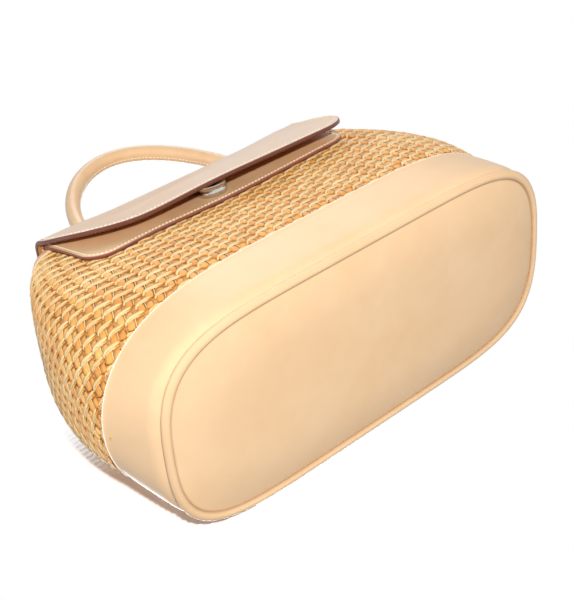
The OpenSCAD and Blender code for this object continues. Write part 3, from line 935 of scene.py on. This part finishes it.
def flapSurface(u, v):
    # the flap hangs a little askew, longer towards its right end
    v = v + np.maximum(v - frontRun, 0) * flap["slant"] * u / flap["half"]
    ahead = unit(flapPoints[-1] - flapPoints[-2])
    beyond = np.maximum(v - flapRun[-1], 0)
    y = np.interp(v, flapRun, flapPoints[:, 0]) + beyond * ahead[0]
    z = np.interp(v, flapRun, flapPoints[:, 1]) + beyond * ahead[1] + np.minimum(v, 0)
    # the back lies on the dished wall, and comes straight over the mouth
    high = np.minimum(z, flap["backTop"])
    dish = frontY(0.0 * u, high, -flap["clear"]) - frontY(u, high, -flap["clear"])
    y = y + dish * (1 - ramp(v - bendRun, *flap["dishUp"]))
    # the front springs off the facing at its ends and is pressed in beside the clasp
    spring = flap["springRight"] * ramp(u, *flap["rightAlong"])
    spring = spring + flap["springLeft"] * ramp(-u, *flap["leftAlong"])
    spring = (spring - hump(u, *flap["press"])) * ramp(v - frontRun, *flap["springUp"])
    # the fold is drawn back over the pinched middle of the mouth
    pull = mixed(flap["pullMiddle"], flap["pullEnds"], ramp(np.abs(u), *flap["pullAlong"]))
    pull = pull * ramp(v - foldRun, *flap["pullUp"]) * (1 - ramp(v - frontRun, *flap["pullFade"]))
    # its right end is drawn in along the fold
    tuck = flap["tuckRight"] * ramp(u, *flap["tuckAlong"]) * (1 - ramp(v - frontRun, *flap["tuckFade"]))
    x = u + (flap["aside"] - tuck) * ramp(v - bendRun, *flap["asideUp"])
    return np.stack([x, y + pull + spring * ahead[1], z - spring * ahead[0]], -1)


def flapHalf(v):
    return mixed(flap["backHalf"], flap["half"], ramp(v - hingeRun, *flap["halfUp"]))


def flapThickness(v):
    return mixed(flap["backThickness"], flap["thickness"], ramp(v - hingeRun, *flap["thicknessUp"]))


def flapOutline(inset, rows, columns):
    return stripRows(0, flapRun[-1], flapHalf, flap["backCorners"], flap["corners"], inset, rows, columns)


def makeFlap():
    strip = {"surface": flapSurface, "outline": flapOutline, "thickness": flapThickness}
    piece = leatherStrip("flapLeather", strip, ("inner", "flap", "flapEdgeAndGapShade"), *flap["grid"], flap["lip"])
    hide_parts("flap", "back_facing")
    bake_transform(piece)

    def lines(side, keep):
        return stripLines(strip, flap["stitchIn"], flap["stitchGrid"], side, keep)
    for side, tag in ((1, "A"), (-1, "B")):
        frontLines = lines(side, lambda v: v > hingeRun + flap["stitchAway"])
        sew("flapStitches" + tag, frontLines, "flap_body", "flap_leather")
    backLines = [line for side in (1, -1) for line in lines(side, lambda v: v < hingeRun - flap["stitchAway"])]
    sew("backStitches", backLines, "bag_body", "flap_leather")


makeFlap()
print("facing and flap")


# Rolled handle with its raised seam turned towards the back, between two rows of stitches
# The groove beside the seam is given as turn, width and share of the radius
handle = {"diameter": 11.5, "span": 146.0, "rise": 92.0, "forward": 23.5, "lean": 8.5, "power": 1.12,
          "foot": 212.9, "seam": 1.3, "seamTurn": 0.9, "seamWidth": 0.26, "groove": (0.75, 0.28, 0.03),
          "stitchTurn": 0.5, "stitchOut": 0.15, "stitchFrom": 3, "endTurn": 0.0008, "pathSteps": 2001,
          "steps": 96, "around": 24}


def archPoint(turn):
    rise = np.sin(turn) ** handle["power"]
    return np.stack([handle["span"] / 2 * np.cos(turn), -handle["forward"] - handle["lean"] * rise ** 2,
                     handle["foot"] + handle["rise"] * rise], -1)


def makeHandle():
    path = archPoint(np.linspace(handle["endTurn"], math.pi - handle["endTurn"], handle["pathSteps"]))
    run = runAlong(path)
    even = np.linspace(0, run[-1], handle["steps"])
    path = np.stack([np.interp(even, run, path[:, k]) for k in range(3)], 1)
    ahead = np.gradient(path, axis=0)
    ahead[0], ahead[-1] = (0, 0, 1), (0, 0, -1)
    ahead = unit(ahead)
    side = unit(np.cross(np.array([0, 1.0, 0]), ahead))
    front = np.cross(ahead, side)
    r, count = handle["diameter"] / 2, handle["around"]
    rings, lines = [], ([], [])
    for p, s, f in zip(path, side, front):
        rings.append([])
        inward = -s if np.dot(s, p - np.array([0, p[1], handle["foot"]])) > 0 else s
        for turn in 2 * math.pi * np.arange(count) / count:
            apart = abs((turn - handle["seamTurn"] + math.pi) % (2 * math.pi) - math.pi)
            raised = hump(apart, 0, handle["seamWidth"], handle["seam"])
            reach = r * (1 - hump(apart, *handle["groove"])) + raised
            rings[-1].append(p + (inward * math.cos(turn) + f * math.sin(turn)) * reach)
        for line, turn in zip(lines, (-handle["stitchTurn"], handle["stitchTurn"])):
            turn = handle["seamTurn"] + turn
            out = inward * math.cos(turn) + f * math.sin(turn)
            line.append((p + out * (r + handle["stitchOut"]), out))
    settle(ringPiece("rolledHandle", rings, "handle"), "flap_body", "handle_leather", "handle")
    kept = slice(handle["stitchFrom"], -handle["stitchFrom"])
    sew("handleStitches", [tuple(np.array(part) for part in zip(*line[kept])) for line in lines],
        "flap_body", "handle_leather", pitch=3.0, length=2.1, thick=0.7)


# Tabs under the handle's feet: rounded leather with a painted edge, its section given as inset and height
tab = {"length": 46.0, "width": 26.0, "low": 210.95, "stitchIn": 2.6, "stitchUp": 2.18, "turnSteps": 25,
       "section": ((0.3, 0.0), (0.0, 0.4), (0.0, 1.5), (0.3, 1.9), (0.8, 2.0), (3.0, 2.1), (7.0, 2.5),
                   (11.0, 2.7)),
       "edgeRows": 3}


def makeTab(name, node, centreX):
    half, run = tab["width"] / 2, (tab["length"] - tab["width"]) / 2
    turns = np.linspace(-math.pi / 2, math.pi / 2, tab["turnSteps"])

    def loop(inset, up):
        end = np.stack([run + (half - inset) * np.cos(turns), (half - inset) * np.sin(turns), 0 * turns], 1)
        return np.concatenate([end, -end]) + np.array([centreX, -handle["forward"], tab["low"] + up])
    loops = [loop(*place) for place in tab["section"]]
    piece = ringPiece(name, loops, "handle", "edge", kinds=[1] * tab["edgeRows"])
    settle(piece, "flap_body", "handle_leather", node)
    line = loop(tab["stitchIn"], tab["stitchUp"])
    line = np.concatenate([line, line[:1]])
    return line, np.tile((0.0, 0.0, 1.0), (len(line), 1))


makeHandle()
tabLines = [makeTab("leftTab", "left_handle_tab", -handle["span"] / 2),
            makeTab("rightTab", "right_handle_tab", handle["span"] / 2)]
sew("tabStitches", tabLines, "flap_body", "handle_leather", pitch=2.9, length=2.0, thick=0.7)
print("handle and tabs")


# Clasp: a polished drum on the facing meets a plate under the flap
# Profiles are given as inset from the radius, share of the height and what is added to it
clasp = {"radius": 11.0, "around": 64,
         "drum": ((1.2, 0, 0), (0.2, 0, 0), (0, 0, 0.25), (0, 0.55, 0), (0.35, 0.58, 0), (0.35, 0.66, 0),
                  (0, 0.69, 0), (0, 1, -0.5), (0.15, 1, -0.15), (0.5, 1, 0), (9.0, 1, 0)),
         "plate": ((0.4, 0, 0), (0, 0, 0.2), (0, 1, -0.2), (0.3, 1, 0))}


# A turned piece that stands where the solid does, leaning with the wall or the flap
def makeTurned(name, node, lean, profile):
    out, side = np.array([0, -math.cos(lean), math.sin(lean)]), np.array([1.0, 0, 0])
    points = np.array([v.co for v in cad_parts[node].data.vertices]) / mm
    reach = points @ out
    tall = reach.max() - reach.min()
    middle = (points.min(0) + points.max(0)) / 2
    foot = middle - out * ((middle @ out) - reach.min())
    turns = np.arange(clasp["around"]) * 2 * math.pi / clasp["around"]
    circle = np.outer(np.cos(turns), side) + np.outer(np.sin(turns), np.cross(out, side))
    rings = [foot + circle * (clasp["radius"] - inset) + out * (share * tall + more)
             for inset, share, more in profile]
    return ringPiece(name, rings, "steel")


wallLean = math.atan((bag["bandDepth"] - bag["rimDepth"]) / 2 / (bag["rimHeight"] - bag["bandHeight"]))
drum = makeTurned("claspDrum", "clasp_drum", wallLean, clasp["drum"])
settle(drum, "bag_body", "clasp_metal", "clasp_drum", "clasp_magnet")
plate = makeTurned("claspPlate", "clasp_plate", math.radians(flap["splay"]), clasp["plate"])
settle(plate, "flap_body", "clasp_metal", "clasp_plate")
print("clasp")


# White overcast stitches along the band's top edge
overcast = {"points": 360, "below": 0.7, "inset": 0.1, "upward": 0.5}


def makeBandStitches():
    angles = np.append(evenAngles(overcast["points"]), 2 * np.pi)
    line = wall(angles, bag["bandHeight"] - overcast["below"], overcast["inset"])
    out = unit(np.cross(np.gradient(line, axis=0), np.array([0, 0, 1.0])))
    out = unit(out + np.array([0, 0, overcast["upward"]]))
    sew("bandStitches", [(line, out)], "bag_body", "base_leather", pitch=2.0, length=2.5, thick=0.9, slant=0.45,
        finish="rawEdge")


makeBandStitches()
print("band stitches")


# Photograph's camera: lens and place fitted to the bag's edges
camera = {"focal": 1238.04, "frame": 600, "sensor": 36, "clip": (0.01, 50),
          "turn": ((0.7444, 0.0812, -0.6627), (-0.4165, 0.8322, -0.3659), (0.5218, 0.5485, 0.6534)),
          "shift": (58.49, 26.118, 813.783)}


def makeCamera():
    data = bpy.data.cameras.new("camera")
    data.sensor_width = camera["sensor"]
    data.lens = camera["focal"] / camera["frame"] * camera["sensor"]
    data.clip_start, data.clip_end = camera["clip"]
    turn = Matrix(camera["turn"])
    piece = addObject("camera", data)
    piece.rotation_mode = "QUATERNION"
    piece.location = -(turn.transposed() @ Vector(camera["shift"])) * mm
    piece.rotation_quaternion = Matrix((turn[0], -turn[1], -turn[2])).transposed().to_quaternion()
    scene.camera = piece
    return piece.location.copy()


# Pale floor seen from above, and level slats behind the bag seen from below, which take the photograph's shadow
# Both fade into the white room; the slats' colour is above 1 so that they are white where lit
stage = {"size": 3000.0, "floorZ": -0.05, "floor": (0.97, 0.96, 0.95, 1), "floorMiddle": (0, 0, 0),
         "floorFade": (280.0, 700.0), "card": (1.5, 1.25, 1.14, 1), "cardMiddle": (-120.0, 78.5, 45.0),
         "cardFade": (60.0, 135.0), "slatPitch": 5.0, "slatDepth": 6.3, "cardEnds": (-198.0, -105.0),
         "cardHeights": (-34.0, 182.0)}


def paleFinish(name, tint, middle, fade):
    material, tree, spot = newMaterial(name)
    away = make(tree, "ShaderNodeVectorMath", {"operation": "DISTANCE"},
                {0: spot, 1: [c * mm for c in middle]}, out=1)
    shown = ranged(away, fade[0] * mm, fade[1] * mm, 1.0, 0.0, "SMOOTHSTEP")
    path = make(tree, "ShaderNodeLightPath")
    back = make(tree, "ShaderNodeNewGeometry", out=6)
    clear = make(tree, "ShaderNodeBsdfTransparent")
    matt = make(tree, "ShaderNodeBsdfDiffuse", None, {"Color": tint})
    both = make(tree, "ShaderNodeMixShader", None, {0: path * (1.0 - back) * shown, 1: clear, 2: matt})
    make(tree, "ShaderNodeOutputMaterial", None, {"Surface": both})
    return material


def makeStage():
    s, z = stage["size"], stage["floorZ"]
    for key in ("floor", "card"):
        finishes[key] = paleFinish("pale " + key, stage[key], stage[key + "Middle"], stage[key + "Fade"])
    floor = makePiece("floor", [(-s, -s, z), (s, -s, z), (s, s, z), (-s, s, z)], [(0, 1, 2, 3)], ["floor"])
    left, right = stage["cardEnds"]
    near = stage["cardMiddle"][1]
    far = near + stage["slatDepth"]
    slats = []
    for h in np.arange(*stage["cardHeights"], stage["slatPitch"]):
        slats += [(left, near, h), (left, far, h), (right, far, h), (right, near, h)]
    card = makePiece("shadowCard", slats, [range(k, k + 4) for k in range(0, len(slats), 4)], ["card"])


# Soft studio light: an even white room, and lamps as place, aim, power and size
# The key lamp stands by the camera and gives no gloss
lights = {"room": 0.21, "keyAim": (0, 0, 0.08), "keyAway": 1.5, "keyRight": 0.11, "keyUp": 0.18,
          "key": (19.6, 0.06),
          "lamps": {"topLamp": ((0.8, -0.8, 1.4), (0, 0, 0.12), 8.0, 1.0),
                    "sideLamp": ((-1.2, -0.15, 0.25), (0, 0, 0.12), 1.8, 0.6),
                    "backLamp": ((0.4, 1.3, 0.9), (0, 0, 0.12), 18.0, 1.0)}}


def makeRoom():
    scene.world = bpy.data.worlds.new("white room")
    scene.world.use_nodes = True
    tree = scene.world.node_tree
    tree.nodes.clear()
    # white to the camera, to reflections and through glass, dimmer as a light
    direct, glossy, through = [make(tree, "ShaderNodeLightPath", out=k) for k in (0, 3, 6)]
    seen = direct.math("MAXIMUM", direct, direct.math("MAXIMUM", glossy, through))
    strength = lights["room"] + seen * (1.0 - lights["room"])
    sky = make(tree, "ShaderNodeBackground", None, {"Color": (1, 1, 1, 1), "Strength": strength})
    make(tree, "ShaderNodeOutputWorld", None, {"Surface": sky})


def makeLights(eye):
    right, down = Vector(camera["turn"][0]), Vector(camera["turn"][1])
    middle = Vector(lights["keyAim"])
    byCamera = middle + (eye - middle) * lights["keyAway"]
    keyPlace = byCamera + right * lights["keyRight"] - down * lights["keyUp"]
    lamps = {"keyLamp": (keyPlace, middle, *lights["key"]), **lights["lamps"]}
    for name, (place, aim, power, size) in lamps.items():
        data = bpy.data.lights.new(name, "AREA")
        data.shape, data.size, data.energy = "DISK", size, power
        lamp = addObject(name, data)
        lamp.location = place
        lamp.rotation_mode = "QUATERNION"
        lamp.rotation_quaternion = (Vector(aim) - Vector(place)).to_track_quat("-Z", "Y")
        lamp.visible_camera = False
        lamp.visible_glossy = name != "keyLamp"


eye = makeCamera()
makeStage()
makeRoom()
makeLights(eye)
scene.view_settings.view_transform = "Standard"
print("camera, stage and lights")
